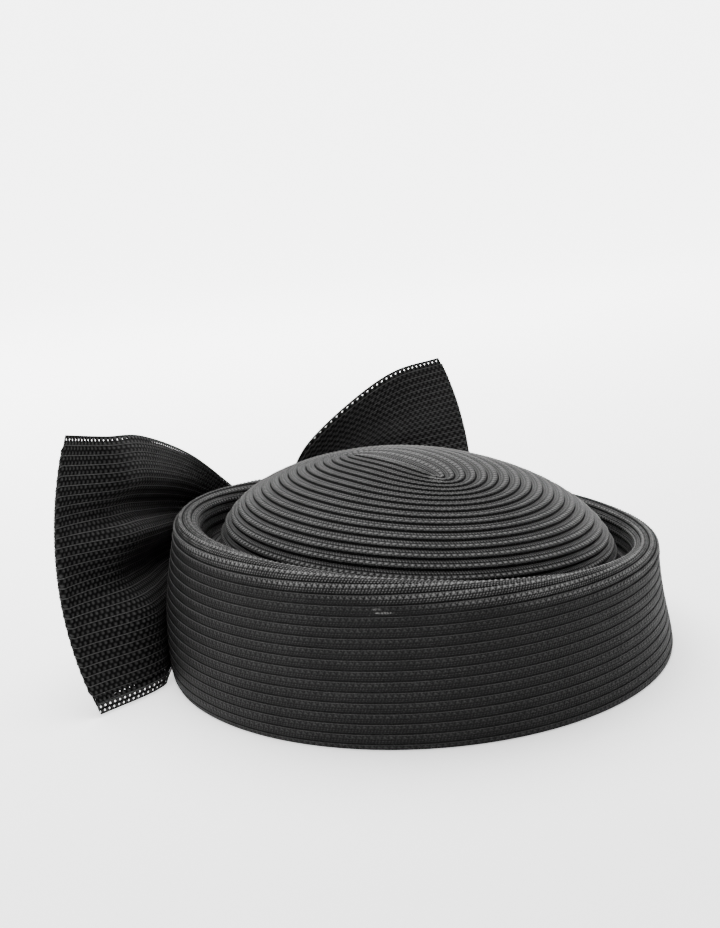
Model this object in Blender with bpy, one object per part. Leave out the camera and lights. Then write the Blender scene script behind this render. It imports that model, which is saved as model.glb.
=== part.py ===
# Pillbox hat sewn from black straw braid, with a large braid bow at the back.
# The front of the hat faces -Y, the bow sits at +Y, and the hat rests on Z = 0.
# The origin is the middle of the space that hat and bow cover on that surface.
# A cuff with a rolled rim holds a domed crown, which sits a little below the rim.
# The bow has two folded loops, gathered into a knot on the back of the cuff.
import math

import bmesh
import bpy
from mathutils import Vector

# Where the hat's upright axis stands from the origin, in metres
HAT_AXIS_X = 0.0124
HAT_AXIS_Y = -0.0139

# Hat body, in metres
BASE_RADIUS = 0.100
CREST_RADIUS = 0.090
CREST_HEIGHT = 0.0524
CREST_SHIFT_X = 0.0005
CREST_SHIFT_Y = -0.0016
WALL_BULGE = 0.0014
WALL_SHIFT_X = -0.0015
WALL_SHIFT_Y = 0.0010
BRAID_WALL = 0.0020
RIM_ROLL = 0.0049
INNER_WALL_DEPTH = 0.0135
INNER_WALL_DRAFT = 0.0015
TROUGH_LIP = 0.0026
TROUGH_WIDTH = 0.0021
CROWN_RISE = 0.0410
CROWN_SHIFT_X = 0.0010
CROWN_OVAL = 0.0180
RIB_DEPTH = 0.0006

# How far the rim rises for each metre towards +X and +Y: it is low on the right
CREST_SLOPE_X = -0.110
CREST_SLOPE_Y = 0.028

# Rows of braid, and the facets round the hat
WALL_ROWS = 17
RIM_ROWS = 2
INNER_ROWS = 3
CROWN_ROWS = 15
HAT_FACETS = 36
HIDDEN_RINGS = 5

# Shape of the wall's bulge and of the crown's dome
BULGE_SKEW = 0.57
DOME_FULLNESS = 1.78
DOME_SHOULDER = 2.08
STEEPEST_FOOT = 2.0
OVAL_START = 0.004

# Bow, in metres
BAND_HEIGHT = 0.098
BOW_WALL = 0.0012
BOW_RIB_DEPTH = 0.0005
BOW_CLEARANCE = 0.0008
FLOOR_CLEARANCE = 0.0010
LOOP_PUFF = 0.0040
PLEAT_DEPTH = 0.0060
LEFT_FLARE = 0.036
RIGHT_FLARE = 0.046
KNOT_BEARING = 97.0
KNOT_WIDTH = 0.026
KNOT_DEPTH = 0.015
KNOT_HEIGHT = 0.044
KNOT_BOTTOM = 0.006
KNOT_TAPER = 0.10
KNOT_ROUND_BACK = 0.6
KNOT_ROUND_UP = 0.8
BAND_ROWS = 28
KNOT_ROWS = 5
KNOT_SIDES = 14

# Gap kept between pieces that meet, and the turn from which an edge shades sharp
SEAM_GAP = 0.0003
SHARP_ANGLE = math.radians(40)

# Sections of a loop after the knot's end, out to the fold. Bearings are degrees
# round the hat from +X, and the other columns are shares of named sizes:
#   low_bearing, high_bearing   where the lower and the upper edge stand
#   low_flare, high_flare       how far out from the wall, of the loop's flare
#   bottom, top                 height of the two edges, of BAND_HEIGHT
#   bulge                       how far the middle rows reach past the edges, of BAND_HEIGHT
#   puff                        half the space between the two layers, of LOOP_PUFF
#   pleat                       depth of the two long hollows, of PLEAT_DEPTH
LEFT_SECTIONS = [
    dict(low_bearing=127, high_bearing=118, low_flare=0.00, high_flare=0.00,
         bottom=0.03, top=0.73, bulge=0.00, puff=0.9, pleat=0.8),
    dict(low_bearing=151, high_bearing=139, low_flare=0.00, high_flare=0.00,
         bottom=0.01, top=0.91, bulge=0.00, puff=1.0, pleat=1.0),
    dict(low_bearing=166, high_bearing=152, low_flare=0.04, high_flare=0.22,
         bottom=0.01, top=0.97, bulge=0.02, puff=0.8, pleat=0.6),
    dict(low_bearing=174, high_bearing=155, low_flare=0.62, high_flare=0.60,
         bottom=0.01, top=1.00, bulge=0.09, puff=0.3, pleat=0.0),
]
RIGHT_SECTIONS = [
    dict(low_bearing=83, high_bearing=83, low_flare=0.08, high_flare=0.08,
         bottom=0.06, top=0.65, bulge=0.00, puff=0.9, pleat=0.8),
    dict(low_bearing=70, high_bearing=71, low_flare=0.26, high_flare=0.26,
         bottom=0.02, top=0.81, bulge=0.00, puff=1.0, pleat=1.0),
    dict(low_bearing=58, high_bearing=60, low_flare=0.60, high_flare=0.58,
         bottom=0.01, top=0.925, bulge=0.02, puff=0.8, pleat=0.6),
    dict(low_bearing=50, high_bearing=51, low_flare=1.20, high_flare=0.97,
         bottom=0.01, top=0.955, bulge=0.08, puff=0.3, pleat=0.0),
]
# The gathered end in the knot
KNOT_END = dict(bottom=0.08, top=0.50, bulge=0.00, puff=0.5, pleat=0.35)


def widest_wall():
    return BASE_RADIUS + WALL_BULGE + math.hypot(WALL_SHIFT_X, WALL_SHIFT_Y) + RIB_DEPTH / 2


def crest_lean(x, y):
    return CREST_SLOPE_X * x + CREST_SLOPE_Y * y


def set_on_hat(x, y, z, full_lean):
    """Tilt a point of the upright hat, so that the rim rises to the left."""
    share = z / CREST_HEIGHT
    belly = math.sin(math.pi * min(share, 1.0)) if not full_lean else 0.0
    lift = crest_lean(x, y) * (1.0 if full_lean else share)
    return Vector((
        x + CREST_SHIFT_X * share + WALL_SHIFT_X * belly,
        y + CREST_SHIFT_Y * share + WALL_SHIFT_Y * belly,
        z + lift))


def rib(step, depth=RIB_DEPTH):
    """Ribs alternate: rows stand out, and the seams between them sink in."""
    return depth / 2 if step % 2 else -depth / 2


def wall_radius(share):
    """Radius of the upright outer wall, from its base to the shoulder of the rim."""
    shoulder = CREST_RADIUS + RIM_ROLL
    bulge = WALL_BULGE * math.sin(math.pi * share ** BULGE_SKEW)
    return BASE_RADIUS + (shoulder - BASE_RADIUS) * share + bulge


def knot_seat(bearing):
    """Distance of the knot's centre from the hat's axis, its back just clear of the wall."""
    facet = math.tau / HAT_FACETS
    corner = round(bearing / facet) * facet
    seats = []
    steps = 2 * WALL_ROWS
    for step in range(steps):
        share = step / steps
        radius = wall_radius(share) + RIB_DEPTH / 2
        height = (CREST_HEIGHT - RIM_ROLL) * share
        spot = set_on_hat(radius * math.cos(corner), radius * math.sin(corner), height, full_lean=False)
        reach = spot.x * math.cos(bearing) + spot.y * math.sin(bearing)
        lift = abs(2 * (spot.z - KNOT_BOTTOM) / KNOT_HEIGHT - 1.0)
        if lift < 1.0:
            back = (1.0 - lift ** (2 / KNOT_ROUND_UP)) ** (KNOT_ROUND_BACK / 2)
            seats.append(reach + KNOT_DEPTH / 2 * back)
    return max(seats) + SEAM_GAP


def spin_profile(profile, closed):
    """Spin a profile of (radius, height) once round Z and return the bmesh."""
    mesh = bmesh.new()
    verts = [mesh.verts.new((radius, 0.0, height)) for radius, height in profile]
    edges = [mesh.edges.new(pair) for pair in zip(verts, verts[1:])]
    if closed:
        edges.append(mesh.edges.new((verts[-1], verts[0])))
    bmesh.ops.spin(
        mesh, geom=verts + edges, cent=(0, 0, 0), axis=(0, 0, 1), dvec=(0, 0, 0),
        angle=math.tau, steps=HAT_FACETS, use_merge=True, use_duplicate=False)
    bmesh.ops.remove_doubles(mesh, verts=mesh.verts, dist=1e-6)
    return mesh


def add_object(name, mesh, material):
    """Turn the faces outwards and add the finished solid to the scene."""
    bmesh.ops.recalc_face_normals(mesh, faces=mesh.faces)
    data = bpy.data.meshes.new(name)
    mesh.to_mesh(data)
    mesh.free()
    data.shade_smooth()
    data.set_sharp_from_angle(angle=SHARP_ANGLE)
    data.materials.append(material)
    piece = bpy.data.objects.new(name, data)
    piece.location = (HAT_AXIS_X, HAT_AXIS_Y, 0.0)
    bpy.context.collection.objects.link(piece)
    return piece


def make_material(name, color, roughness):
    material = bpy.data.materials.new(name)
    material.use_nodes = True
    shader = material.node_tree.nodes["Principled BSDF"]
    shader.inputs["Base Color"].default_value = (*color, 1.0)
    shader.inputs["Roughness"].default_value = roughness
    shader.inputs["Metallic"].default_value = 0.0
    return material


def cuff_profile():
    """Closed section of the cuff: outer wall, rolled rim, inner wall and lip."""
    roll_height = CREST_HEIGHT - RIM_ROLL
    points = []
    steps = 2 * WALL_ROWS
    for step in range(steps):
        share = step / steps
        depth = rib(step) if step else 0.0
        points.append((wall_radius(share) + depth, roll_height * share))
    steps = 2 * RIM_ROWS
    for step in range(steps + 1):
        angle = math.pi * step / steps
        reach = RIM_ROLL + (rib(step) if 0 < step < steps else 0.0)
        points.append((CREST_RADIUS + reach * math.cos(angle), roll_height + reach * math.sin(angle)))
    inner_top = CREST_RADIUS - RIM_ROLL
    inner_fall = INNER_WALL_DEPTH - RIM_ROLL
    steps = 2 * INNER_ROWS
    for step in range(1, steps + 1):
        share = step / steps
        depth = -rib(step) if step < steps else 0.0
        points.append((inner_top - INNER_WALL_DRAFT * share + depth, roll_height - inner_fall * share))
    floor_height = CREST_HEIGHT - INNER_WALL_DEPTH
    lip_radius = inner_top - INNER_WALL_DRAFT - TROUGH_LIP
    points.append((lip_radius, floor_height))
    points.append((lip_radius, floor_height - BRAID_WALL))
    points.append((inner_top - INNER_WALL_DRAFT + BRAID_WALL, floor_height - BRAID_WALL))
    points.append((inner_top + BRAID_WALL, roll_height))
    points.append((CREST_RADIUS, CREST_HEIGHT - BRAID_WALL))
    for step in range(HIDDEN_RINGS):
        share = 1.0 - step / (HIDDEN_RINGS - 1)
        points.append((wall_radius(share) - BRAID_WALL, roll_height * share))
    return points


def make_cuff(material):
    mesh = spin_profile(cuff_profile(), closed=True)
    for vert in mesh.verts:
        x, y, z = vert.co
        inside = math.hypot(x, y) < CREST_RADIUS
        vert.co = set_on_hat(x, y, z, full_lean=inside)
    return add_object("cuff", mesh, material)


def crown_edge():
    return CREST_RADIUS - RIM_ROLL - INNER_WALL_DRAFT - TROUGH_LIP - SEAM_GAP


def dome_height(radius):
    """Height of the dome above the trough, at a distance from its middle."""
    share = min(radius / (crown_edge() - TROUGH_WIDTH), 1.0)
    return CROWN_RISE * (1.0 - share ** DOME_FULLNESS) ** (1.0 / DOME_SHOULDER)


def dome_normal(x, y):
    radius = math.hypot(x, y)
    if radius < 1e-6:
        return Vector((0, 0, 1))
    step = 1e-5
    slope = (dome_height(radius + step) - dome_height(radius - step)) / (2 * step)
    slope = max(slope, -STEEPEST_FOOT)
    return Vector((-slope * x / radius, -slope * y / radius, 1.0)).normalized()


def crown_profile():
    """Section of the crown while flat: ribbed rows above, a plain skin below."""
    edge = crown_edge()
    foot = edge - TROUGH_WIDTH
    points = [(0.0, 0.0)]
    steps = 2 * CROWN_ROWS
    for step in range(1, steps + 1):
        points.append((foot * step / steps, rib(step) if step < steps else 0.0))
    points.append((edge, 0.0))
    points.append((edge, -BRAID_WALL))
    for step in range(HIDDEN_RINGS + 1):
        points.append((foot * (1.0 - step / HIDDEN_RINGS), -BRAID_WALL))
    return points


def make_crown(material):
    mesh = spin_profile(crown_profile(), closed=False)
    foot = crown_edge() - TROUGH_WIDTH
    floor_height = CREST_HEIGHT - INNER_WALL_DEPTH
    for vert in mesh.verts:
        x, y, depth = vert.co
        radius = math.hypot(x, y)
        if 1e-6 < radius < foot:
            # the first rows are long ovals that widen into circles at the foot
            y *= 1.0 + CROWN_OVAL / radius * (1.0 - radius / foot) * min(1.0, radius / OVAL_START)
        off_middle = x - CROWN_SHIFT_X
        surface = Vector((x, y, floor_height + dome_height(math.hypot(off_middle, y))))
        point = surface + dome_normal(off_middle, y) * depth
        vert.co = set_on_hat(point.x, point.y, point.z, full_lean=True)
    return add_object("crown", mesh, material)


def knot_axes():
    """Centre of the knot on the floor plane, with its outward and sideways directions."""
    bearing = math.radians(KNOT_BEARING)
    outward = Vector((math.cos(bearing), math.sin(bearing), 0))
    sideways = Vector((outward.y, -outward.x, 0))
    centre = outward * knot_seat(bearing)
    return centre, outward, sideways


def make_knot(material):
    """A band of braid wrapped once round the gathered middle of the bow."""
    centre, outward, sideways = knot_axes()
    mesh = bmesh.new()
    middle = KNOT_BOTTOM + KNOT_HEIGHT / 2
    steps = 2 * KNOT_ROWS
    rings = []
    for step in range(steps + 1):
        along = KNOT_WIDTH * (step / steps - 0.5)
        swell = 1.0 - KNOT_TAPER * abs(2 * step / steps - 1.0) ** 3
        depth = (rib(step, BOW_RIB_DEPTH) if 0 < step < steps else 0.0) - BOW_RIB_DEPTH / 2
        ring = []
        for side in range(KNOT_SIDES):
            angle = math.tau * (side + 0.5) / KNOT_SIDES
            across = math.copysign(abs(math.cos(angle)) ** KNOT_ROUND_BACK, math.cos(angle))
            upward = math.copysign(abs(math.sin(angle)) ** KNOT_ROUND_UP, math.sin(angle))
            reach = (KNOT_DEPTH / 2 * swell + depth) * across
            lift = (KNOT_HEIGHT / 2 * swell + depth) * upward
            point = centre + sideways * along + outward * reach
            ring.append(mesh.verts.new((point.x, point.y, middle + lift)))
        rings.append(ring)
    for first, second in zip(rings, rings[1:]):
        for side in range(KNOT_SIDES):
            after = (side + 1) % KNOT_SIDES
            mesh.faces.new((first[side], first[after], second[after], second[side]))
    mesh.faces.new(rings[0])
    mesh.faces.new(rings[-1])
    return add_object("bow_knot", mesh, material)


def loop_edge(sections, flare, side, edge):
    """Plan of a loop's lower or upper edge, from the knot's end to the fold."""
    centre, _, sideways = knot_axes()
    points = [centre + sideways * side * (KNOT_WIDTH / 2 + SEAM_GAP)]
    inner_space = BOW_CLEARANCE + LOOP_PUFF + BOW_WALL + BOW_RIB_DEPTH
    for section in sections:
        bearing = math.radians(section[edge + "_bearing"])
        radius = widest_wall() + inner_space + flare * section[edge + "_flare"]
        points.append(Vector((math.cos(bearing), math.sin(bearing), 0)) * radius)
    return points


def across_path(points, index):
    """Direction across the loop at one section, on the side away from the hat."""
    if index == 0:
        return knot_axes()[1]
    after = points[min(index + 1, len(points) - 1)]
    along = (after - points[index - 1]).normalized()
    across = Vector((along.y, -along.x, 0))
    if across.dot(points[index]) < 0:
        across = -across
    return across


def make_loop(name, sections, flare, side, material):
    """A wide band of braid folded back on itself, as one hollow wall."""
    low_edge = loop_edge(sections, flare, side, "low")
    high_edge = loop_edge(sections, flare, side, "high")
    middle = [(low + high) / 2 for low, high in zip(low_edge, high_edge)]
    sections = [KNOT_END] + sections
    last = len(sections) - 1
    rows = 2 * BAND_ROWS
    half_wall = BOW_WALL / 2

    def band_point(index, share, offset, forward):
        """A point of the band: offset is across the loop, forward along it."""
        section = sections[index]
        across = across_path(middle, index)
        along = Vector((across.y, -across.x, 0)) * side
        low = max(section["bottom"] * BAND_HEIGHT, FLOOR_CLEARANCE)
        high = section["top"] * BAND_HEIGHT
        height = low + (high - low) * share
        fold = (1.0 - math.cos(4 * math.pi * share)) / 2
        hollow = section["pleat"] * PLEAT_DEPTH * fold
        swell = section["bulge"] * BAND_HEIGHT * 4 * share * (1.0 - share)
        spot = low_edge[index].lerp(high_edge[index], share)
        spot = spot + across * (hollow + offset) + along * (forward + swell)
        return Vector((spot.x, spot.y, height))

    def skin(sign):
        """Columns of one skin, out along the inner layer and back along the outer."""
        gaps = [LOOP_PUFF * section["puff"] + sign * half_wall for section in sections]
        inner_layer = [(index, -gaps[index], 0.0) for index in range(last + 1)]
        fold = [(last, 0.0, gaps[last])]
        outer_layer = [(index, gaps[index], 0.0) for index in range(last, -1, -1)]
        return inner_layer + fold + outer_layer

    mesh = bmesh.new()
    grids = []
    for sign in (1, -1):
        grid = []
        for index, offset, forward in skin(sign):
            column = []
            for row in range(rows + 1):
                wave = 0.0
                if 0 < row < rows:
                    wave = sign * rib(row, BOW_RIB_DEPTH)
                ribbed = offset + math.copysign(wave, offset * wave) if offset else 0.0
                reach = forward + wave if forward else 0.0
                column.append(mesh.verts.new(band_point(index, row / rows, ribbed, reach)))
            grid.append(column)
        grids.append(grid)
    outer, inner = grids
    for grid in grids:
        for first, second in zip(grid, grid[1:]):
            for row in range(rows):
                mesh.faces.new((first[row], second[row], second[row + 1], first[row + 1]))
    for row in (0, rows):
        for place in range(len(outer) - 1):
            mesh.faces.new((outer[place][row], outer[place + 1][row],
                            inner[place + 1][row], inner[place][row]))
    for place in (0, -1):
        for row in range(rows):
            mesh.faces.new((outer[place][row], outer[place][row + 1],
                            inner[place][row + 1], inner[place][row]))
    return add_object(name, mesh, material)


for existing in list(bpy.data.objects):
    bpy.data.objects.remove(existing)

braid = make_material("straw_braid", (0.020, 0.020, 0.021), 0.62)
bow_braid = make_material("bow_braid", (0.012, 0.012, 0.013), 0.60)

make_cuff(braid)
make_crown(braid)
make_knot(bow_braid)
make_loop("bow_loop_left", LEFT_SECTIONS, LEFT_FLARE, -1, bow_braid)
make_loop("bow_loop_right", RIGHT_SECTIONS, RIGHT_FLARE, 1, bow_braid)
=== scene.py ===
import math

import bmesh
import bpy
import numpy as np
from mathutils import Matrix, Vector


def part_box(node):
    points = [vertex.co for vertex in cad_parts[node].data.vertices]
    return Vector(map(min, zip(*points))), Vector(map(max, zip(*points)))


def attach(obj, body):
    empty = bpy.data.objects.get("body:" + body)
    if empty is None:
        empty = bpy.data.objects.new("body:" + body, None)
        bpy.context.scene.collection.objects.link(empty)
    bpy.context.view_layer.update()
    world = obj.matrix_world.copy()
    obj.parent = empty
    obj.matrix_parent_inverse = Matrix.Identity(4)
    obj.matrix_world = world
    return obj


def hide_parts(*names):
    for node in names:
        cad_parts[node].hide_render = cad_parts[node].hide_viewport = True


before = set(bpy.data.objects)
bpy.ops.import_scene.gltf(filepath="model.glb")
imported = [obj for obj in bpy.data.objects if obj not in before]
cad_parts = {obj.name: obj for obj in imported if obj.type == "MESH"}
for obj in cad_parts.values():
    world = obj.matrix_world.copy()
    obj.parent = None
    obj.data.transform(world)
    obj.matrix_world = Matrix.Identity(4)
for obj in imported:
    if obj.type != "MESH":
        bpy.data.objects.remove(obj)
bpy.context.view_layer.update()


# Crown: one long straw braid coiled into a dome from an oval start. Each turn laps
# over the edge of the next and is stitched to it, so a step shows below every turn,
# darkened with painted shade, and the last turns run out under the rolled rim.
HAT_AXIS = Vector((0.0124, -0.0139, 0.0))
CREST_HEIGHT = 0.0524
CREST_SHIFT = Vector((0.0005, -0.0016))
CREST_SLOPE = Vector((-0.110, 0.028))
TROUGH_DEPTH = 0.0135
STRAW_THICKNESS = 0.0017
STITCH = 0.0022
MERGE_DISTANCE = 2e-6
DOME_FOOT = 0.0786
CROWN_EDGE = 0.0807
DOME_RISE = 0.0410
DOME_SHIFT = 0.0010
DOME_FULLNESS = 1.78
DOME_SHOULDER = 2.08
STEEPEST = 2.6
SLOPE_STEP = 0.0004
START_MIDDLE = Vector((-0.0140, -0.0090))
START_HALF = 0.0205
START_TURN = math.radians(-75)
START_ROUND = 0.65
START_FADE = 1.7
START_SHARE = 0.22
WAY_POINTS = 400
CROWN_TURNS = 20
CROWN_COLUMNS = 684
FADE_ROWS = 0.6
# Height of the braid at steps across one turn: it is tucked in, rises to a lip and drops
LAP_STEPS = (0.0, 0.10, 0.28, 0.47, 0.70, 0.90, 1.0)
LAP_HEIGHT = (-0.00080, -0.00045, 0.00006, -0.00012, 0.00030, 0.00026, -0.00080)
LAP_BEAD = (0.0, 0.0, 0.00005, 0.0, 0.00014, 0.00012, 0.0)
# Places across a turn: the row of beads, the rib above it and the thin selvage on the lip
BEAD_LEAN = 0.45
BEAD_LOW = 0.45
BEAD_HIGH = 0.92
RIB_PLACE = 0.47
SELVAGE_PLACE = 0.885
# A painted sheen on the rim fades in from the one depth below the crest's height to the other
RIM_LOW = 0.0070
RIM_HIGH = 0.0015
FIBRE_SCALE = 1500.0
# The crown's straw is painted lighter than the cuff's, though both are one braid: painted light on the
# up-facing dome
CROWN_STRAW_PAINTED_LIT = (0.0790, 0.0786, 0.0778)
# Painted shade for the grooves under the crown's turns
CROWN_GROOVE_PAINTED_SHADE = (0.0020, 0.0020, 0.0020)
# Painted shade for the gaps of the weave between the beads and the plait
WEAVE_GAP_PAINTED_SHADE = (0.0040, 0.0040, 0.0040)
# Painted highlight for the thin selvage on each lip
SELVAGE_PAINTED_HIGHLIGHT = (0.084, 0.0838, 0.083)
SNAG_SHADE = (0.22, 0.218, 0.214)
# The end of the straw is frayed where the coil starts: place, squeeze, radius, strength
FRAYED_START = ((0.0034, -0.0472, 0.0813), (1.0, 0.7, 0.3), 0.0036, 0.45)


def crest_lean(x, y):
    """How far the rim is lifted at a place of the plan: it is high on the left."""
    return CREST_SLOPE.x * x + CREST_SLOPE.y * y


def dome_height(radius):
    share = min(radius / DOME_FOOT, 1.0)
    return DOME_RISE * (1.0 - share ** DOME_FULLNESS) ** (1.0 / DOME_SHOULDER)


def drawn_out(wave, power):
    """A sine or cosine drawn out towards its ends, for ovals and rounded boxes."""
    return math.copysign(abs(wave) ** power, wave)


# Way across the dome, from the start to the foot and on into the trough, in equal
# lengths of straw: shares of the straight way on the plan against length
way_share = 1.0 - (1.0 - np.linspace(0.0, 1.0, WAY_POINTS)) ** 2
way_radius = DOME_FOOT * (START_SHARE + (1.0 - START_SHARE) * way_share)
way_height = np.array([dome_height(radius) for radius in way_radius])
way_length = np.concatenate(([0.0], np.cumsum(np.hypot(np.diff(way_radius), np.diff(way_height)))))
way_share = np.append(way_share, CROWN_EDGE / DOME_FOOT)
way_length = np.append(way_length, way_length[-1] + CROWN_EDGE - DOME_FOOT)


def crown_spot(angle, row, depth):
    """A point of the crown: angle round the coil, row out from the start, depth off the dome."""
    length = min(max(row / CROWN_TURNS, 0.0), 1.0) * way_length[-1]
    share = float(np.interp(length, way_length, way_share))
    ease = drawn_out(math.cos(angle), START_ROUND)
    reach = START_HALF * ease * max(1.0 - share, 0.0) ** (START_FADE - 1.0)
    start = START_MIDDLE + reach * Vector((math.cos(START_TURN), math.sin(START_TURN)))
    foot = DOME_FOOT * Vector((math.cos(angle + START_TURN), math.sin(angle + START_TURN)))
    plan = start.lerp(foot, share) if share < 1.0 else foot * share
    off_middle = Vector((plan.x - DOME_SHIFT, plan.y))
    radius = max(off_middle.length, 1e-6)
    rise = dome_height(radius + SLOPE_STEP) - dome_height(max(radius - SLOPE_STEP, 0.0))
    slope = 0.0 if share > 1.0 else max(rise / (2 * SLOPE_STEP), -STEEPEST)
    out = off_middle / radius
    normal = Vector((-slope * out.x, -slope * out.y, 1.0)).normalized()
    height = CREST_HEIGHT - TROUGH_DEPTH + dome_height(radius)
    point = Vector((plan.x, plan.y, height)) + normal * depth
    lift = point.z / CREST_HEIGHT
    point.x += CREST_SHIFT.x * lift
    point.y += CREST_SHIFT.y * lift
    point.z += crest_lean(point.x, point.y)
    return point + HAT_AXIS


def lay(mesh, columns, rings, corner):
    """Add a sheet as a grid. corner gives the point, and the place along and across the braid."""
    laid = bmesh.ops.create_grid(mesh, x_segments=columns, y_segments=rings, size=0.5)
    mesh.faces.ensure_lookup_table()
    braid_map = mesh.loops.layers.uv.get("braid") or mesh.loops.layers.uv.new("braid")
    places = {}
    for vert in laid["verts"]:
        point, along, across = corner(
            round((vert.co.x + 0.5) * columns), round((vert.co.y + 0.5) * rings))
        vert.co = point
        places[vert] = (along, across)
    for face in mesh.faces[len(mesh.faces) - columns * rings:]:
        for loop in face.loops:
            loop[braid_map].uv = places[loop.vert]


def coil(mesh, spot, turns, columns, steps, heights, beads, thickness=0.0):
    """Coil one braid into a sheet, each turn joined to the one before. Each step across a
    turn has its height and the height of its beads, and all lie the thickness further in."""
    run = [0.0]
    for column in range(1, (turns + 1) * columns + 1):
        before, here = [spot(math.tau * at / columns, at / columns - 0.5, 0.0)
                        for at in (column - 1, column)]
        run.append(run[-1] + (here - before).length / STITCH)

    def corner(column, ring):
        row = column / columns - 1.0 + steps[ring]
        fade = min(max(row / FADE_ROWS, 0.0), 1.0) * min(max(turns - row, 0.0), 1.0)
        bead = beads[ring] * math.cos(math.tau * (run[column] + BEAD_LEAN * steps[ring]))
        depth = (heights[ring] + bead) * fade - thickness
        return spot(math.tau * column / columns, row, depth), run[column], steps[ring]

    lay(mesh, (turns + 1) * columns, len(steps) - 1, corner)


def new_object(name, mesh, material):
    """Make the mesh an object, smooth and in one material."""
    data = bpy.data.meshes.new(name)
    mesh.to_mesh(data)
    mesh.free()
    data.shade_smooth()
    data.materials.append(material)
    made = bpy.data.objects.new(name, data)
    bpy.context.collection.objects.link(made)
    return made


def finish_piece(name, mesh, material, node):
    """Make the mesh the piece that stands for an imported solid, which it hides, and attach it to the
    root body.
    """
    piece = new_object(name, mesh, material)
    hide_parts(node)
    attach(piece, "root")
    return piece


class Wire:
    """A socket of a material that works in Python sums, which add its Math nodes."""

    def __init__(self, tree, socket=None):
        self.tree = tree
        self.socket = socket

    def node(self, kind, settings, sockets, output=0):
        """Add any other node: its settings first, then values or links for its sockets."""
        made = self.tree.nodes.new(kind)
        for name, value in settings.items():
            setattr(made, name, value)
        for name, value in sockets.items():
            if isinstance(value, Wire):
                self.tree.links.new(value.socket, made.inputs[name])
            else:
                made.inputs[name].default_value = value
        return Wire(self.tree, made.outputs[output])

    def math(self, operation, *others):
        return self.node("ShaderNodeMath", {"operation": operation}, dict(enumerate((self, *others))))

    def vector(self, operation, *others):
        """Vector Math on this socket, which gives a value where it measures one."""
        output = "Value" if operation in ("DOT_PRODUCT", "LENGTH") else "Vector"
        return self.node("ShaderNodeVectorMath", {"operation": operation},
                         dict(enumerate((self, *others))), output)

    def __add__(self, other):
        return self.math("ADD", other)

    __radd__ = __add__

    def __sub__(self, other):
        return self.math("SUBTRACT", other)

    def __rsub__(self, other):
        return self.node("ShaderNodeMath", {"operation": "SUBTRACT"}, {0: other, 1: self})

    def __mul__(self, other):
        return self.math("MULTIPLY", other)

    __rmul__ = __mul__

    def wave(self):
        """1 at each whole number, 0 halfway between them, and smooth."""
        return 0.5 + 0.5 * (math.tau * self).math("COSINE")

    def away(self, place):
        return (self - place).math("ABSOLUTE")

    def band(self, low, high):
        """0 below the low value, 1 above the high one, and smooth between them."""
        return self.node("ShaderNodeMapRange", {"interpolation_type": "SMOOTHSTEP", "clamp": True},
                         {"Value": self, "From Min": low, "From Max": high})


def start_material(name, gloss):
    """A new material: its shader, and a wire to start its nodes from."""
    material = bpy.data.materials.new(name)
    material.use_nodes = True
    shader = material.node_tree.nodes["Principled BSDF"]
    shader.inputs["Specular IOR Level"].default_value = gloss
    return material, shader, Wire(material.node_tree)


def start_straw(name, gloss, patch_scale):
    """A new straw material, with what its pattern is made from: the places along and across
    the braid, fine fibres and broad patches."""
    material, shader, start = start_material(name, gloss)
    placed = start.node("ShaderNodeUVMap", {"uv_map": "braid"}, {})
    along, across = [start.node("ShaderNodeSeparateXYZ", {}, {"Vector": placed}, axis) for axis in "XY"]
    points = start.node("ShaderNodeTexCoord", {}, {}, "Object")
    fibre, patch = [
        start.node("ShaderNodeTexNoise", {}, {
            "Vector": points, "Scale": scale, "Detail": 3.0, "Roughness": roughness})
        for scale, roughness in ((FIBRE_SCALE, 0.65), (patch_scale, 0.6))]
    return material, shader, along, across, fibre, patch


def finish_material(shader, base, layers, rough, height, relief):
    """Lay shades over the base, each by its own mask, and set roughness and bump."""
    colour = (*base, 1.0)
    for mask, shade in layers:
        colour = mask.node("ShaderNodeMix", {"data_type": "RGBA"}, {
            "Factor": mask, 6: colour, 7: (*shade, 1.0)}, 2)
    bump = height.node("ShaderNodeBump", {}, {"Strength": 1.0, "Distance": relief, "Height": height})
    for wire, name in ((colour, "Base Color"), (rough, "Roughness"), (bump, "Normal")):
        wire.tree.links.new(wire.socket, shader.inputs[name])


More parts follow.
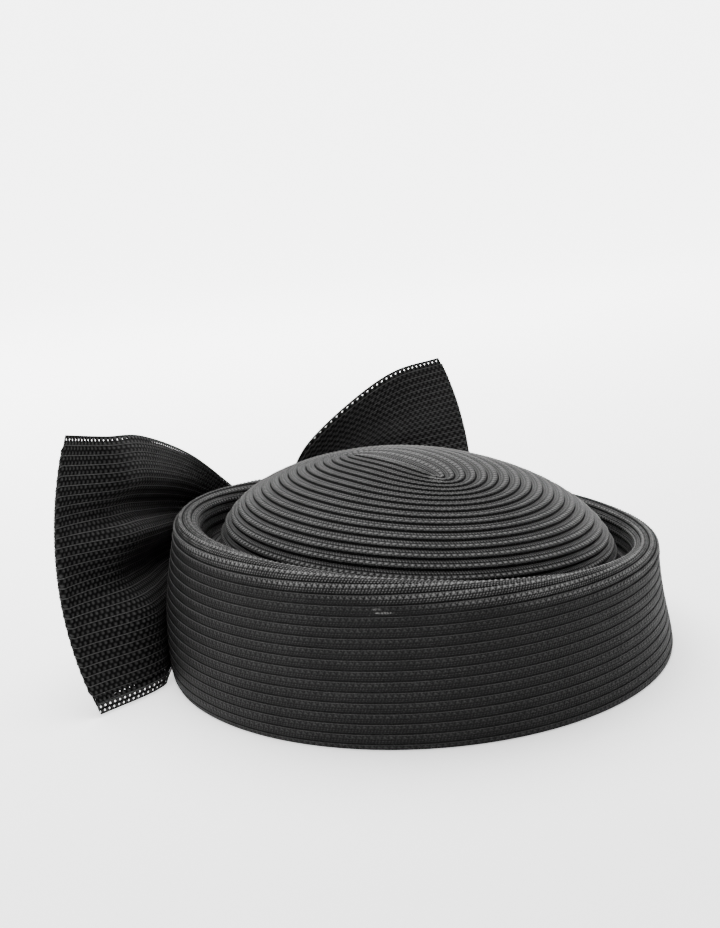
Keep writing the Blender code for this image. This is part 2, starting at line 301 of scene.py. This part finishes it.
def straw_material(name, gloss, straw, rim_sheen, groove_painted_shade, groove_width, bead_share, snags):
    """Straw braid: beads under the lip of each turn, a finer plait above them, a thin selvage
    on the lip in a painted highlight and a groove where the next turn goes under it, in painted
    shade, as are the rib and the gaps of the weave. A painted sheen lightens the straw high up.
    Each snag has a place, how it is squeezed along the axes, its radius and how strong it is."""
    material, shader, along, share, fibre, patch = start_straw(name, gloss, 70.0)
    points = along.node("ShaderNodeTexCoord", {}, {}, "Object")
    bead = (along + BEAD_LEAN * share + 0.3 * patch).wave()
    bead = bead * (math.pi * share.band(BEAD_LOW, BEAD_HIGH)).math("SINE")
    plait = (2.0 * along - 1.4 * share + 0.3 * patch).wave()
    plait = plait * (4.4 * math.pi * share).math("SINE").math("ABSOLUTE")
    weave = (bead * bead_share).math("MAXIMUM", plait * 0.50)
    # Painted shade in the groove under each lip, and more lightly along the rib
    groove = 1.0 - (0.5 - share.away(0.5)).band(groove_width * 0.3, groove_width)
    rib = 1.0 - share.away(RIB_PLACE).band(0.03, 0.09)
    # The selvage line is painted as a highlight
    selvage = 1.0 - share.away(SELVAGE_PLACE).band(0.015, 0.045)
    # lit marks the straw's tops; elsewhere the base colour stays, painted shade for the gaps of the
    # weave
    lit = (weave * 0.95 + fibre * 0.40 + patch * 0.35 - 0.36).band(0.0, 1.0)
    # A painted sheen lightens the straw high up, where the rim faces the light
    above_base = points.vector("DOT_PRODUCT", (-CREST_SLOPE.x, -CREST_SLOPE.y, 1.0))
    rim = above_base.band(CREST_HEIGHT - RIM_LOW, CREST_HEIGHT - RIM_HIGH)
    layers = [(lit, straw), (lit * rim, rim_sheen), (selvage * (0.25 + 0.75 * fibre), SELVAGE_PAINTED_HIGHLIGHT),
              (rib * 0.55, groove_painted_shade), (groove, groove_painted_shade)]
    for place, squeeze, radius, strength in snags:
        off = points.vector("SUBTRACT", place).vector("MULTIPLY", squeeze).vector("LENGTH")
        thread = (1.0 - off.band(radius * 0.6, radius)) * fibre.band(0.40, 0.58)
        layers.append((thread * strength, SNAG_SHADE))
    finish_material(
        shader, WEAVE_GAP_PAINTED_SHADE, layers, rough=(0.50 + 0.22 * fibre).math("MAXIMUM", groove),
        height=weave + fibre * 0.25 + selvage * 0.4 - groove * 0.8 - rib * 0.2, relief=0.00040)
    return material


crown_straw = straw_material(
    "crown_straw", gloss=0.13, straw=CROWN_STRAW_PAINTED_LIT, rim_sheen=CROWN_STRAW_PAINTED_LIT, groove_painted_shade=CROWN_GROOVE_PAINTED_SHADE,
    groove_width=0.13, bead_share=1.0, snags=[FRAYED_START])

mesh = bmesh.new()
coil(mesh, crown_spot, CROWN_TURNS, CROWN_COLUMNS, LAP_STEPS, LAP_HEIGHT, LAP_BEAD)
coil(mesh, crown_spot, CROWN_TURNS, CROWN_COLUMNS, (0.0, 1.0), (0.0, 0.0), (0.0, 0.0), STRAW_THICKNESS)
bmesh.ops.remove_doubles(mesh, verts=mesh.verts, dist=MERGE_DISTANCE)
bmesh.ops.bridge_loops(mesh, edges=[edge for edge in mesh.edges if edge.is_boundary])
bmesh.ops.recalc_face_normals(mesh, faces=mesh.faces)
finish_piece("crown_braid", mesh, crown_straw, "crown")


# Cuff: the same braid coiled upright from the base edge, in turns of one width. The
# rim leans, so the turns cross its roll at a slant, and the last ones go down inside
# it to the trough round the crown.
BASE_RADIUS = 0.100
CREST_RADIUS = 0.090
WALL_BULGE = 0.0014
BULGE_SKEW = 0.57
WALL_SHIFT = Vector((-0.0015, 0.0010))
WALL_LEAN = 0.10
RIM_ROLL = 0.0049
ROLL_HEIGHT = CREST_HEIGHT - RIM_ROLL
ROLL_LENGTH = math.pi * RIM_ROLL
# The rows stand out more on the roll, from this far below it
ROLL_START = 0.004
ROLL_RELIEF = 2.6
INNER_DRAFT = 0.0015
INNER_LEAN = 0.15
INNER_FALL = TROUGH_DEPTH - RIM_ROLL
INNER_RADIUS = CREST_RADIUS - RIM_ROLL
LIP_CORNER = 0.0001
TROUGH_LIP = 0.0026
BRAID_WIDTH = 0.0036
CUFF_TURNS = 24
CUFF_COLUMNS = 855
CUFF_STEPS = (0.0, 0.20, 0.52, 0.86, 1.0)
CUFF_HEIGHT = (-0.00020, -0.00004, 0.00006, 0.00012, -0.00020)
CUFF_BEAD = (0.0, 0.00005, 0.00007, 0.00010, 0.0)
BACK_RINGS = 10
# The cuff's straw is painted darker than the crown's, though both are one braid: painted shade on the
# upright wall
CUFF_STRAW_PAINTED_SHADED = (0.0370, 0.0368, 0.0364)
# Painted sheen on the up-facing rim
RIM_PAINTED_SHEEN = (0.1750, 0.1741, 0.1724)
# Painted shade for the grooves between the cuff's turns
CUFF_GROOVE_PAINTED_SHADE = (0.0070, 0.0070, 0.0070)
# A straw is snagged on the front of the wall: place, squeeze, radius, strength
WALL_SNAGS = [((-0.0486, -0.0893, 0.0468), (1.0, 1.0, 9.0), 0.0042, 0.45),
              ((-0.0505, -0.0880, 0.0480), (1.0, 1.0, 3.0), 0.0018, 0.30)]


def wall_length(angle):
    """How far the braid runs up the wall at a bearing, before the rim rolls over."""
    lean = crest_lean(CREST_RADIUS * math.cos(angle), CREST_RADIUS * math.sin(angle))
    return ROLL_HEIGHT * (1.0 + lean / CREST_HEIGHT)


def cuff_spot(angle, row, depth):
    """A point of the cuff: angle round it, row up from the base edge, depth off the wall."""
    wall = wall_length(angle)
    length = min(max(row * BRAID_WIDTH, 0.0), wall + ROLL_LENGTH + INNER_FALL + TROUGH_LIP)
    shoulder = CREST_RADIUS + RIM_ROLL
    if length < wall:
        share = length / wall
        bulge = WALL_BULGE * math.sin(math.pi * share ** BULGE_SKEW)
        radius = BASE_RADIUS + (shoulder - BASE_RADIUS) * share + bulge
        height = ROLL_HEIGHT * share
        out, up = 1.0, WALL_LEAN
    elif length < wall + ROLL_LENGTH:
        turn = (length - wall) / RIM_ROLL
        out, up = math.cos(turn), math.sin(turn)
        radius = CREST_RADIUS + RIM_ROLL * out
        height = ROLL_HEIGHT + RIM_ROLL * up
    elif length < wall + ROLL_LENGTH + INNER_FALL:
        fall = length - wall - ROLL_LENGTH
        radius = INNER_RADIUS - INNER_DRAFT * fall / INNER_FALL
        height = ROLL_HEIGHT - fall
        out, up = -1.0, INNER_LEAN
    else:
        radius = INNER_RADIUS - INNER_DRAFT - (length - wall - ROLL_LENGTH - INNER_FALL)
        height = ROLL_HEIGHT - INNER_FALL
        out, up = 0.0, 1.0
    radius += out * depth
    height += up * depth
    x, y = radius * math.cos(angle), radius * math.sin(angle)
    inside = radius < CREST_RADIUS
    share = height / CREST_HEIGHT
    belly = 0.0 if inside else math.sin(math.pi * min(share, 1.0))
    lift = crest_lean(x, y) * (1.0 if inside else share)
    return HAT_AXIS + Vector((
        x + CREST_SHIFT.x * share + WALL_SHIFT.x * belly,
        y + CREST_SHIFT.y * share + WALL_SHIFT.y * belly,
        max(height + lift, 0.0)))


def cuff_face(angle, row, depth):
    """The seen side. Past the trough's lip its rows lie flat on each other."""
    wall = wall_length(angle)
    length = row * BRAID_WIDTH
    if length >= wall + ROLL_LENGTH + INNER_FALL + TROUGH_LIP:
        return cuff_spot(angle, row, 0.0)
    rolled = min(max((length - wall + ROLL_START) / ROLL_START, 0.0), 1.0)
    return cuff_spot(angle, row, depth * (1.0 + (ROLL_RELIEF - 1.0) * rolled))


def cuff_back(column, ring):
    """The hidden side, with the base edge and the trough's lip, where it meets the seen one."""
    angle = math.tau * column / CUFF_COLUMNS
    wall = wall_length(angle)
    rolled = wall + ROLL_LENGTH
    lip = rolled + INNER_FALL
    lengths = (0.0, 0.0, 0.25 * wall, 0.5 * wall, 0.75 * wall, wall, wall + ROLL_LENGTH / 2,
               rolled, lip - LIP_CORNER, lip + TROUGH_LIP, lip + TROUGH_LIP)
    depth = 0.0 if ring in (0, BACK_RINGS) else -STRAW_THICKNESS
    row = lengths[ring] / BRAID_WIDTH
    return cuff_spot(angle, row, depth), angle * BASE_RADIUS / STITCH, row


cuff_straw = straw_material(
    "cuff_straw", gloss=0.085, straw=CUFF_STRAW_PAINTED_SHADED, rim_sheen=RIM_PAINTED_SHEEN, groove_painted_shade=CUFF_GROOVE_PAINTED_SHADE,
    groove_width=0.14, bead_share=0.60, snags=WALL_SNAGS)

mesh = bmesh.new()
coil(mesh, cuff_face, CUFF_TURNS, CUFF_COLUMNS, CUFF_STEPS, CUFF_HEIGHT, CUFF_BEAD)
lay(mesh, CUFF_COLUMNS, BACK_RINGS, cuff_back)
bmesh.ops.remove_doubles(mesh, verts=mesh.verts, dist=MERGE_DISTANCE)
bmesh.ops.recalc_face_normals(mesh, faces=mesh.faces)
finish_piece("cuff_braid", mesh, cuff_straw, "cuff")


# Bow knot: a short band of braid wrapped once round the gathered middle of the bow. It
# is sewn to the back of the cuff, low down.
KNOT_BEARING = math.radians(97.0)
KNOT_WIDTH = 0.026
KNOT_DEPTH = 0.015
KNOT_TAPER = 0.10
KNOT_ROUND_BACK = 0.6
KNOT_ROUND_UP = 0.8
KNOT_TURNS = 7
KNOT_FIRST_ROW = 10
KNOT_COLUMNS = 150
KNOT_RELIEF = 0.00025
# Length of straw round the knot for each radian
KNOT_REACH = 0.018
# How far the closed ends of the knot draw in, in two steps, and how wide it is there
KNOT_END_OUTER = 0.90
KNOT_END_INNER = 0.62
KNOT_END_WIDTH = 0.93
BAND_HEIGHT = 0.098
BAND_ROWS = 28
# Lines of small round holes along both edges of the band: row and shift along it
HOLE_LINES = ((0.28, 0.0), (0.72, 0.5), (1.55, 0.0), (BAND_ROWS - 0.45, 0.5))
HOLE_RADIUS = 0.00043
# Painted shade for the ground between the bow's beads
BOW_GAP_PAINTED_SHADE = (0.0010, 0.0010, 0.0010)
BOW_STRAW = (0.0260, 0.0259, 0.0257)
# Painted highlight on the bow's raised seams
BOW_SEAM_PAINTED_HIGHLIGHT = (0.085, 0.085, 0.084)

knot_low, knot_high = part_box("bow_knot")
knot_middle = (knot_low + knot_high) / 2
knot_height = knot_high.z - knot_low.z
knot_out = Vector((math.cos(KNOT_BEARING), math.sin(KNOT_BEARING), 0.0))
knot_side = Vector((knot_out.y, -knot_out.x, 0.0))
knot_up = Vector((0.0, 0.0, 1.0))

# Bow braid: rows of small round beads on a ground of painted shade, and a thin painted highlight on the
# seam between rows
bow_straw, shader, along, across, fibre, patch = start_straw("bow_braid", 0.05, 90.0)
share = across.math("FRACT")
lane = share.math("GREATER_THAN", 0.5)
bead = (along + 0.5 * lane + 0.15 * patch).wave() * (math.tau * share).math("SINE").math("ABSOLUTE")
# The seam line is painted as a highlight
seam = 1.0 - (0.5 - share.away(0.5)).band(0.030, 0.070)
solid = 1.0
for line, shift in HOLE_LINES:
    to_side = (along + shift).math("FRACT") - 0.5
    upward = (across - line) * (BAND_HEIGHT / BAND_ROWS / STITCH)
    from_hole = to_side * to_side + upward * upward
    solid = solid * from_hole.math("GREATER_THAN", (HOLE_RADIUS / STITCH) ** 2)
solid.tree.links.new(solid.socket, shader.inputs["Alpha"])
# lit marks the beads; between them the base colour is painted shade
lit = (bead * 1.1 + fibre * 0.35 - 0.20).band(0.0, 1.0)
finish_material(
    shader, BOW_GAP_PAINTED_SHADE, [(lit, BOW_STRAW), (seam * (0.35 + 0.65 * fibre), BOW_SEAM_PAINTED_HIGHLIGHT)],
    rough=0.58 + 0.22 * fibre, height=bead + fibre * 0.25 + seam * 0.5, relief=0.00035)

# Rings across the knot: place across it, how far it is drawn in, and the row's relief
knot_rings = [(-0.5, KNOT_END_INNER, 0.0), (-0.5, KNOT_END_OUTER, 0.0)]
for turn in range(KNOT_TURNS):
    for step, height in zip(CUFF_STEPS[:-1], CUFF_HEIGHT):
        knot_rings.append(((turn + step) / KNOT_TURNS - 0.5, 1.0, height))
knot_rings += [(0.5, 1.0, 0.0), (0.5, KNOT_END_OUTER, 0.0), (0.5, KNOT_END_INNER, 0.0)]


def knot_corner(column, ring):
    """A point of the knot: round the bow's middle, and across the band that wraps it."""
    side, scale, height = knot_rings[ring]
    angle = math.tau * column / KNOT_COLUMNS
    swell = (1.0 - KNOT_TAPER * abs(2 * side) ** 3) * scale
    back = drawn_out(math.cos(angle), KNOT_ROUND_BACK)
    upward = drawn_out(math.sin(angle), KNOT_ROUND_UP)
    width = KNOT_WIDTH * (1.0 if scale == 1.0 else KNOT_END_WIDTH)
    depth = height - KNOT_RELIEF
    point = (knot_middle + knot_side * side * width
             + knot_out * back * (KNOT_DEPTH / 2 * swell + depth)
             + knot_up * upward * (knot_height / 2 * swell + depth))
    return point, angle * KNOT_REACH / STITCH, (side + 0.5) * KNOT_TURNS + KNOT_FIRST_ROW


mesh = bmesh.new()
lay(mesh, KNOT_COLUMNS, len(knot_rings) - 1, knot_corner)
bmesh.ops.remove_doubles(mesh, verts=mesh.verts, dist=MERGE_DISTANCE)
bmesh.ops.holes_fill(mesh, edges=mesh.edges, sides=0)
bmesh.ops.recalc_face_normals(mesh, faces=mesh.faces)
finish_piece("knot_braid", mesh, bow_straw, "bow_knot")


# Bow loops: two wide bands sewn from parallel rows of braid, each folded back on
# itself. Their ends are gathered into the knot, so long hollows run out from it, and
# lines of small holes show in the open braid along the top and the bottom.
BAND_THICKNESS = 0.0012
LOOP_PUFF = 0.0040
LOOP_CLEARANCE = 0.0016
KNOT_CLEARANCE = 0.0003
PLEAT_DEPTH = 0.0120
FLOOR_CLEARANCE = 0.0010
LOOP_COLUMNS = 300
LAYER_STOPS = 80
FOLD_STOPS = 11
WAY_STEP = 0.02
# The rows with holes along the edges are a single thin layer of straw
OPEN_BELOW = 2
OPEN_ABOVE = 1
OPEN_THINNESS = 0.25
ROW_STEPS = (0.0, 0.10, 0.26, 0.50, 0.74, 0.90)
ROW_HEIGHT = (0.00030, -0.00020, 0.00014, -0.00004, 0.00014, -0.00020)
# The two layers lie close together at the edges, and the far one ends a little inside
EDGE_PINCH = 0.30
PINCH_SPREAD = 0.6
EDGE_STEP = 0.0020
WIDEST_WALL = BASE_RADIUS + WALL_BULGE + WALL_SHIFT.length
# Hollows: height as a share of the band, width and depth. Sections from the knot out to
# the fold: bearings of the lower and upper edge round the hat, how far each stands out
# from the wall, the heights of the edges as shares of the band, how far the middle
# reaches past the edges, the space inside, and how deep the hollows are
LEFT_LOOP = dict(
    name="left_loop_braid", node="bow_loop_left", side=-1, flare=0.036, stitch=STITCH,
    hollows=[(0.70, 0.075, 0.9), (0.45, 0.110, 1.0)],
    sections=[
        (127, 118, 0.00, 0.00, 0.03, 0.73, 0.00, 0.9, 0.8),
        (160, 139, -0.20, 0.00, 0.01, 0.91, 0.00, 1.0, 1.0),
        (168, 152, -0.04, 0.22, 0.01, 0.97, 0.02, 0.8, 0.8),
        (174, 155, 0.62, 0.60, 0.01, 1.00, 0.09, 0.3, 0.0)])
RIGHT_LOOP = dict(
    name="right_loop_braid", node="bow_loop_right", side=1, flare=0.046, stitch=0.0036,
    hollows=[(0.58, 0.120, 1.0), (0.22, 0.080, 0.7)],
    sections=[
        (83, 83, 0.08, 0.08, 0.06, 0.65, 0.00, 0.9, 0.8),
        (70, 71, 0.26, 0.26, 0.02, 0.81, 0.00, 1.0, 1.0),
        (57, 60, 0.60, 0.58, 0.01, 0.925, 0.02, 0.8, 0.6),
        (47.5, 51, 1.25, 0.97, 0.01, 0.955, 0.08, 0.3, 0.0)])
KNOT_END = (0.08, 0.50, 0.00, 0.5, 0.20)


def plan_edge(loop, bearing, flare):
    """Where an edge of the band stands on the plan."""
    radius = WIDEST_WALL + LOOP_CLEARANCE + LOOP_PUFF + BAND_THICKNESS + loop["flare"] * flare
    bearing = math.radians(bearing)
    return [HAT_AXIS.x + radius * math.cos(bearing), HAT_AXIS.y + radius * math.sin(bearing)]


def loop_table(loop):
    """One row of numbers for each section: plan of both edges, then the shares."""
    root = knot_middle + knot_side * loop["side"] * (KNOT_WIDTH / 2 + KNOT_CLEARANCE)
    table = [[root.x, root.y, root.x, root.y, *KNOT_END]]
    for section in loop["sections"]:
        low_bearing, high_bearing, low_flare, high_flare, *shares = section
        table.append(plan_edge(loop, low_bearing, low_flare)
                     + plan_edge(loop, high_bearing, high_flare) + shares)
    return np.array(table)


def between(table, at):
    """Read the table at a place between its rows, along a smooth curve."""
    first = min(max(int(at), 0), len(table) - 2)
    step = at - first
    here, after = table[first], table[first + 1]
    before = table[first - 1] if first > 0 else 2 * here - after
    beyond = table[first + 2] if first + 2 < len(table) else 2 * after - here
    return 0.5 * (2 * here + (after - before) * step
                  + (2 * before - 5 * here + 4 * after - beyond) * step ** 2
                  + (3 * here - before - 3 * after + beyond) * step ** 3)


def cross_section(loop, table, at, turn):
    """The band where it crosses one place of its way: at counts sections from the knot, and
    turn goes from -90 degrees on the layer by the hat to +90 on the far one."""
    low_x, low_y, high_x, high_y, bottom, top, bulge, puff, pleat = between(table, at)
    way = between(table, at + WAY_STEP) - between(table, at - WAY_STEP)
    along = Vector((way[0] + way[2], way[1] + way[3], 0.0)).normalized()
    if at < 0.5:
        along = along.lerp(knot_side * loop["side"], 1.0 - 2 * at).normalized()
    across = Vector((along.y, -along.x, 0.0)) * -loop["side"]
    edge_step = EDGE_STEP * (math.sin(turn) + 1.0)
    low = Vector((low_x, low_y, max(bottom * BAND_HEIGHT, FLOOR_CLEARANCE) + edge_step))
    high = Vector((high_x, high_y, top * BAND_HEIGHT - edge_step))
    reach = across * math.sin(turn) + along * math.cos(turn)
    return (low, high, across * pleat * PLEAT_DEPTH, loop["hollows"],
            along * bulge * BAND_HEIGHT, reach, LOOP_PUFF * puff)


def band_spot(section, row, depth):
    """A point of the band at one row up from its lower edge, and a depth off its middle."""
    low, high, hollow, hollows, swell, reach, puff = section
    share = row / BAND_ROWS
    fold = sum(size * math.exp(-((share - middle) / width) ** 2) for middle, width, size in hollows)
    spread = max(math.sin(math.pi * share), 0.0) ** PINCH_SPREAD
    puff *= EDGE_PINCH + (1.0 - EDGE_PINCH) * spread
    return (low.lerp(high, share) + hollow * fold + swell * 4 * share * (1.0 - share)
            + reach * (puff + depth))


def make_loop(loop):
    """Lay one loop of the bow as a closed band, its rows in relief on the outer side."""
    table = loop_table(loop)
    last = len(table) - 1
    # the way along the band: out on the layer by the hat, round the fold and back
    ats = np.concatenate((np.linspace(0, last, LAYER_STOPS), np.full(FOLD_STOPS, last),
                          np.linspace(last, 0, LAYER_STOPS)))
    turns = np.concatenate((np.full(LAYER_STOPS, -math.pi / 2),
                            np.linspace(-math.pi / 2, math.pi / 2, FOLD_STOPS),
                            np.full(LAYER_STOPS, math.pi / 2)))
    middle = [band_spot(cross_section(loop, table, at, turn), BAND_ROWS / 2, 0.0)
              for at, turn in zip(ats, turns)]
    run = np.concatenate(([0.0], np.cumsum([(b - a).length for a, b in zip(middle, middle[1:])])))
    length = float(run[-1])
    stops = np.linspace(0.0, length, LOOP_COLUMNS + 1)
    places = [cross_section(loop, table, at, turn)
              for at, turn in zip(np.interp(stops, run, ats), np.interp(stops, run, turns))]

    # round the band: up its outer side and down its inner one
    rings = []
    for row in range(BAND_ROWS):
        for step, height in zip(ROW_STEPS, ROW_HEIGHT):
            rings.append((row + step, height, 1))
    rings.append((BAND_ROWS, ROW_HEIGHT[0], 1))
    for row in range(BAND_ROWS, -1, -1):
        rings.append((row, 0.0, -1))
    rings.append(rings[0])

    def corner(column, ring):
        row, height, face = rings[ring]
        open_row = row < OPEN_BELOW or row > BAND_ROWS - OPEN_ABOVE
        depth = (face * BAND_THICKNESS / 2 + height) * (OPEN_THINNESS if open_row else 1.0)
        return band_spot(places[column], row, depth), stops[column] / loop["stitch"], row

    mesh = bmesh.new()
    lay(mesh, LOOP_COLUMNS, len(rings) - 1, corner)
    bmesh.ops.remove_doubles(mesh, verts=mesh.verts, dist=MERGE_DISTANCE)
    bmesh.ops.holes_fill(mesh, edges=mesh.edges, sides=0)
    bmesh.ops.recalc_face_normals(mesh, faces=mesh.faces)
    piece = finish_piece(loop["name"], mesh, bow_straw, loop["node"])


make_loop(LEFT_LOOP)
make_loop(RIGHT_LOOP)


# Studio: a pale floor, a broad soft light above and a camera at the height and angle
# from which the hat was looked at.
CAMERA_PLACE = (-0.2455, -0.4221, 0.185)
CAMERA_BEARING = math.radians(-30.0)
CAMERA_DOWN = math.radians(12.78)
CAMERA_ROLL = math.radians(-4.18)
CAMERA_LENS = 48.5
LAMP_PLACE = Vector((0.1, 0.5, 1.7))
LAMP_SIZE = 2.2
LAMP_POWER = 120.0
WORLD_LIGHT = 0.55
FLOOR_RADIUS = 1.8
FLOOR_SIDES = 96
FLOOR_SHADE = (0.92, 0.92, 0.92, 1.0)
SWEEP_RADIUS = 1.1
SWEEP_TURN = math.radians(80)
SWEEP_STEPS = 12
# The backdrop glows by itself, more from here to there along Y
BACKDROP_LIGHT = 3.6
GLOW_START = -0.5
GLOW_END = 1.1

pale, shader, start = start_material("pale_floor", 0.5)
shader.inputs["Base Color"].default_value = FLOOR_SHADE
shader.inputs["Roughness"].default_value = 0.9
shader.inputs["Emission Strength"].default_value = BACKDROP_LIGHT
points = start.node("ShaderNodeTexCoord", {}, {}, "Object")
glow = start.node("ShaderNodeSeparateXYZ", {}, {"Vector": points}, "Y").band(GLOW_START, GLOW_END)
glow.tree.links.new(glow.socket, shader.inputs["Emission Color"])

mesh = bmesh.new()
profile = [Vector((0.0, 0.0, 0.0)), Vector((FLOOR_RADIUS, 0.0, 0.0))]
for step in range(1, SWEEP_STEPS + 1):
    turn = SWEEP_TURN * step / SWEEP_STEPS
    profile.append(Vector((FLOOR_RADIUS + SWEEP_RADIUS * math.sin(turn), 0.0,
                           SWEEP_RADIUS * (1.0 - math.cos(turn)))))
verts = [mesh.verts.new(point) for point in profile]
edges = [mesh.edges.new(pair) for pair in zip(verts, verts[1:])]
bmesh.ops.spin(mesh, geom=verts + edges, cent=(0, 0, 0), axis=(0, 0, 1), dvec=(0, 0, 0),
               angle=math.tau, steps=FLOOR_SIDES, use_merge=True, use_duplicate=False)
bmesh.ops.remove_doubles(mesh, verts=mesh.verts, dist=1e-5)
bmesh.ops.recalc_face_normals(mesh, faces=mesh.faces)
floor = new_object("floor", mesh, pale)

world = bpy.data.worlds.new("studio")
world.use_nodes = True
world.node_tree.nodes["Background"].inputs["Color"].default_value = (1.0, 1.0, 1.0, 1.0)
world.node_tree.nodes["Background"].inputs["Strength"].default_value = WORLD_LIGHT
bpy.context.scene.world = world

lamp_data = bpy.data.lights.new("soft_box", "AREA")
lamp_data.shape = "DISK"
lamp_data.size = LAMP_SIZE
lamp_data.energy = LAMP_POWER
lamp = bpy.data.objects.new("soft_box", lamp_data)
lamp.location = LAMP_PLACE
lamp.rotation_euler = LAMP_PLACE.to_track_quat("Z", "Y").to_euler()
bpy.context.collection.objects.link(lamp)

camera_data = bpy.data.cameras.new("camera")
camera_data.lens = CAMERA_LENS
camera = bpy.data.objects.new("camera", camera_data)
camera.matrix_world = (
    Matrix.Translation(CAMERA_PLACE)
    @ Matrix.Rotation(CAMERA_BEARING, 4, "Z")
    @ Matrix.Rotation(math.pi / 2 - CAMERA_DOWN, 4, "X")
    @ Matrix.Rotation(CAMERA_ROLL, 4, "Z"))
bpy.context.collection.objects.link(camera)
bpy.context.scene.camera = camera
